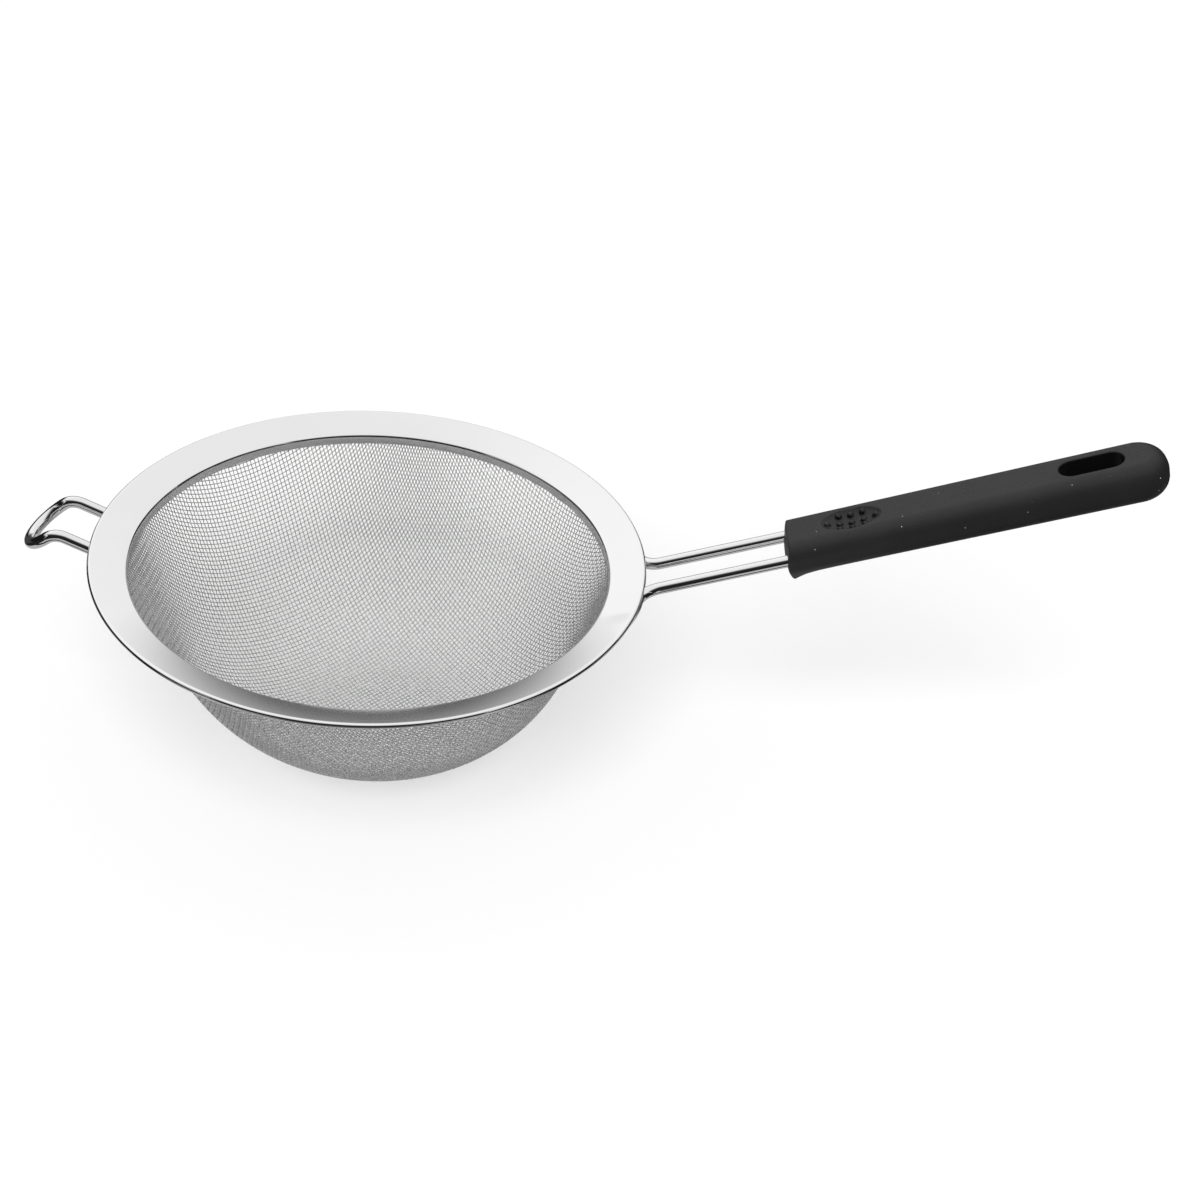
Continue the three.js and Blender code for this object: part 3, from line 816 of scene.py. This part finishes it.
def clothWire(name, s):
    # thin woven wire: duller than the rim, its tone shifting a little from wire to wire
    finish, tree, shader = newFinish(name)
    patches = noise(tree, objectPlace(tree), *s["patches"])
    tone = ranged(tree, patches, s["patchRange"], toneRange(s))
    setShader(tree, shader, Metallic=s["metal"], Base_Color=grey(tree, tone),
              Roughness=ranged(tree, patches, (0, 1), s["roughness"]))
    return finish


plasticSet = {
    "tone": 0.012, "toneShare": (0.8, 1.2), "cloud": (70.0, 3.0), "shine": 0.48,
    # painted shade: the dots and the slot's wall are coloured darker, down to the tone below
    "paintedShadeTone": 0.0025, "paintedShadeFull": 0.5, "dotRoughness": 0.14, "dotFull": 0.3,
    "grain": (1900.0, 2.0), "grainRange": (0.2, 0.8), "roughness": (0.44, 0.62), "bump": (0.35, 0.00014),
    "specks": 260.0, "speckTone": 0.42, "speckShare": 0.28, "speckSize": (0.03, 0.06),
}


def mattePlastic(name, s):
    # moulded plastic: fine grain in bump and roughness, slow shifts of tone, a few pale specks of dust,
    # smooth dots in the thumb recess, and painted shade that colours the dots and the slot's wall darker
    finish, tree, shader = newFinish(name)
    place = objectPlace(tree)
    grain = noise(tree, place, *s["grain"])
    cloud = noise(tree, place, *s["cloud"])
    dots = meshValue(tree, "dotShare")
    slot = meshValue(tree, "slotShadeShare")
    specks = addNode(tree, "ShaderNodeTexVoronoi", Vector=place, Scale=s["specks"])
    chosen = addNode(tree, "ShaderNodeSeparateColor", Color=specks.outputs["Color"]).outputs["Red"]
    few = worked(tree, "GREATER_THAN", chosen, 1 - s["speckShare"])
    small = ranged(tree, specks.outputs["Distance"], s["speckSize"], (1, 0))
    plain = ranged(tree, cloud, (0, 1), [s["tone"] * share for share in s["toneShare"]])
    # painted shade: the dots and the slot's wall take a darker colour in place of their shading
    dark = worked(tree, "MAXIMUM", slot, dots)
    toned = ranged(tree, dark, (0, s["paintedShadeFull"]), (plain, s["paintedShadeTone"]))
    dusty = ranged(tree, worked(tree, "MULTIPLY", few, small), (0, 1), (toned, s["speckTone"]))
    rough = ranged(tree, grain, s["grainRange"], s["roughness"])
    setShader(tree, shader, Base_Color=grey(tree, dusty), Specular_IOR_Level=s["shine"],
              Roughness=ranged(tree, dots, (0, s["dotFull"]), (rough, s["dotRoughness"])),
              Normal=bumped(tree, grain, *s["bump"]))
    return finish


rimFinish = polishedSteel("polished_rim", steelSet)
ringFinish = polishedSteel("plain_ring", ringFinishSet)
wireFinish = drawnWire("polished_wire", wireFinishSet)
clothFinish = clothWire("woven_wire", clothFinishSet)
gripFinish = mattePlastic("matte_grip", plasticSet)

dress(rim, rimFinish, "rim_flange")
dress(clampRing, ringFinish, "mesh_clamp_ring")
dress(handleWire, wireFinish, "handle_wire")
dress(hookWire, wireFinish, "hook_wire")
for piece in clothPieces:
    dress(piece, clothFinish, "mesh_bowl")
dress(grip, gripFinish, "handle_grip")
print("finishes: done")


# Floor, curtains, mat, cards, front light and sky

studioSet = {
    "floorSize": 6.0, "floorTone": 0.95, "dullness": 0.9,
    "floorGlow": 0.35,      # share of the floor that is plain white to the eye
    "shadeAt": (0.0, 0.05, 0.0), "shadeReach": (0.03, 0.1), "shadeGlow": 0.03,
    "skyLight": 0.55,       # sky's strength as soft light on the object
    "skyMirrored": (0.87, 1.0), "skyBrightAt": (-0.62, 0.68, 0.38), "skyBrightFrom": 0.6,
    "lampFrom": (-0.03, -0.66, 0.74), "lampWidth": 42.0, "lampLevel": 0.74,
    "matRadius": 1.3, "matTone": 0.45, "matSides": 96,
    "curtainTurns": 64, "curtainRows": 9,
    "curtainFull": 1.001,   # leaves a sliver of height at a curtain's two ends
}
curtainSets = (
    {"name": "front_curtain", "radius": 0.9, "middle": 0.0, "half": 115.0, "power": 2,
     "top": 2.2, "fade": 0.32, "tone": 0.015},
    {"name": "left_curtain", "radius": 0.86, "middle": -95.0, "half": 50.0, "power": 6,
     "top": 0.65, "fade": 0.6, "tone": 0.01},
    {"name": "right_curtain", "radius": 0.86, "middle": 95.0, "half": 50.0, "power": 6,
     "top": 1.0, "fade": 0.5, "tone": 0.01},
    {"name": "right_back_curtain", "radius": 0.84, "middle": 134.0, "half": 23.0, "power": 8,
     "top": 0.55, "fade": 0.75, "tone": 0.01},
    {"name": "back_curtain", "radius": 1.0, "middle": 180.0, "half": 100.0, "power": 4,
     "top": 0.44, "fade": 0.2, "tone": 0.1},
)
cardSets = (
    {"name": "left_card", "left": -1.2, "right": -0.19, "near": -0.35, "far": 0.06, "tone": 0.015},
    {"name": "left_strip", "left": -0.19, "right": -0.085, "near": -0.088, "far": -0.045, "tone": 0.015},
    {"name": "near_card", "left": -0.112, "right": 0.112, "near": -0.35, "far": -0.12, "tone": 0.1},
    {"name": "right_strip", "left": 0.085, "right": 0.2, "near": -0.088, "far": -0.045, "tone": 0.015},
    {"name": "right_card", "left": 0.2, "right": 1.2, "near": -0.35, "far": 0.02, "tone": 0.015},
    {"name": "front_card", "left": -1.2, "right": 1.2, "near": -0.9, "far": -0.35, "tone": 0.015},
    {"name": "back_left_card", "left": -0.9, "right": -0.13, "near": 0.06, "far": 0.9, "tone": 0.05},
    {"name": "back_right_card", "left": 0.16, "right": 0.9, "near": 0.08, "far": 0.9, "tone": 0.05},
)
stageHeights = {"floor": -0.0004, "mat": -0.0002, "card": -0.0001}
oneQuad = np.array([[0, 1, 2, 3]])


def lightPath(tree):
    return addNode(tree, "ShaderNodeLightPath").outputs


def plainRays(tree):
    # 1 for rays that show the background itself, seen directly or mirrored
    path = lightPath(tree)
    return worked(tree, "MAXIMUM", path["Is Camera Ray"], path["Is Glossy Ray"])


def setSurface(tree, shader):
    tree.links.new(shader.outputs[0], tree.nodes["Material Output"].inputs["Surface"])


def dullFinish(name, tone):
    finish, tree, shader = newFinish(name)
    setShader(tree, shader, Base_Color=(tone, tone, tone, 1.0), Roughness=studioSet["dullness"],
              Specular_IOR_Level=0.0)
    return finish, tree, shader


def flatPoints(left, right, near, far, height):
    corners = [[left, near, height], [right, near, height], [right, far, height], [left, far, height]]
    return np.array(corners) / mm


def makeFloor(s):
    # a dull white floor with a share of plain white, which fades out in the shade under the bowl
    half = s["floorSize"] / 2
    floor = putMesh("floor", flatPoints(-half, half, -half, half, stageHeights["floor"]), [oneQuad])
    finish, tree, shader = dullFinish("pale_floor", s["floorTone"])
    away = vectorWorked(tree, "DISTANCE", objectPlace(tree), s["shadeAt"])
    glow = ranged(tree, away, s["shadeReach"], (s["shadeGlow"], s["floorGlow"]), "SMOOTHSTEP")
    mix = addNode(tree, "ShaderNodeMixShader", Fac=worked(tree, "MULTIPLY", plainRays(tree), glow))
    tree.links.new(shader.outputs[0], mix.inputs[1])
    tree.links.new(addNode(tree, "ShaderNodeEmission").outputs[0], mix.inputs[2])
    setSurface(tree, mix)
    floor.data.materials.append(finish)


def mirroredCard(name, points, faces, finish):
    # a card of the studio that only shows in polished steel
    card = putMesh(name, points, [faces])
    card.data.materials.append(finish)
    card.visible_camera = False
    card.visible_diffuse = False
    card.visible_shadow = False
    card.visible_transmission = False
    return card


def makeCurtain(c, s):
    # a wall bent round the sieve, lower towards its two ends: point = (r sin a, -r cos a, z);
    # towards its top it gets as bright as the sky behind it
    turns, rows = s["curtainTurns"], s["curtainRows"]
    spread = np.linspace(-1, 1, turns + 1)[:, None]
    share = np.linspace(0, 1, rows)[None, :]
    angle = np.radians(c["middle"] + c["half"] * spread) + 0 * share
    height = c["top"] * (s["curtainFull"] - spread ** c["power"]) * share
    points = np.stack([c["radius"] * np.sin(angle), -c["radius"] * np.cos(angle), height], -1) / mm
    finish, tree, _ = newFinish(c["name"])
    level = meshValue(tree, "heightShare")
    shown = ranged(tree, level, (c["fade"], 1), (c["tone"], s["skyMirrored"][0]), "SMOOTHSTEP")
    setSurface(tree, addNode(tree, "ShaderNodeEmission", Strength=shown))
    finish.cycles.emission_sampling = "NONE"
    card = mirroredCard(c["name"], points.reshape(-1, 3), gridFaces(turns + 1, rows), finish)
    putValues(card, "heightShare", [share + 0 * spread])


def makeMat(s):
    # a grey disc just above the floor
    angle = np.linspace(0, 2 * np.pi, s["matSides"], endpoint=False)
    disc = s["matRadius"] * np.stack([np.cos(angle), np.sin(angle)], -1)
    points = np.column_stack([disc, np.full(len(angle), stageHeights["mat"])]) / mm
    finish, _, _ = dullFinish("grey_mat", s["matTone"])
    mirroredCard("grey_mat", points, np.arange(len(angle))[None, :], finish)


def makeCard(c):
    # a dark card that lies on the mat, for dark edges on the lip and the wires
    points = flatPoints(c["left"], c["right"], c["near"], c["far"], stageHeights["card"])
    finish, _, _ = dullFinish(c["name"], c["tone"])
    mirroredCard(c["name"], points, oneQuad, finish)


def makeFrontLight(s):
    # a broad even light from above the camera, so that the shadows fall behind the sieve;
    # its level is the brightness of a white card that faces it
    data = bpy.data.lights.new("front_light", "SUN")
    data.energy = s["lampLevel"] * np.pi
    data.angle = np.radians(s["lampWidth"])
    lamp = bpy.data.objects.new("front_light", data)
    back = unit(np.array(s["lampFrom"]))
    sideways = unit(np.cross([0.0, 1.0, 0.0], back))
    lamp.matrix_world = placeMatrix(sideways, np.cross(back, sideways), back, np.zeros(3))
    lamp.visible_camera = False
    lamp.visible_glossy = False
    scene.collection.objects.link(lamp)


def makeSky(s):
    # plain white to the eye, a soft gradient in the steel, and weaker as light on the object
    world = bpy.data.worlds.new("sky")
    world.use_nodes = True
    scene.world = world
    tree = world.node_tree
    aim = addNode(tree, "ShaderNodeTexCoord").outputs["Generated"]
    toBright = vectorWorked(tree, "DOT_PRODUCT", aim, s["skyBrightAt"])
    mirrored = ranged(tree, toBright, (s["skyBrightFrom"], 1), s["skyMirrored"], "SMOOTHSTEP")
    shown = worked(tree, "MAXIMUM", mirrored, lightPath(tree)["Is Camera Ray"])
    strength = ranged(tree, plainRays(tree), (0, 1), (s["skyLight"], shown))
    background = tree.nodes["Background"]
    background.inputs["Color"].default_value = (1.0, 1.0, 1.0, 1.0)
    tree.links.new(strength, background.inputs["Strength"])


makeFloor(studioSet)
for curtain in curtainSets:
    makeCurtain(curtain, studioSet)
makeMat(studioSet)
for card in cardSets:
    makeCard(card)
makeFrontLight(studioSet)
makeSky(studioSet)
print("studio: done")
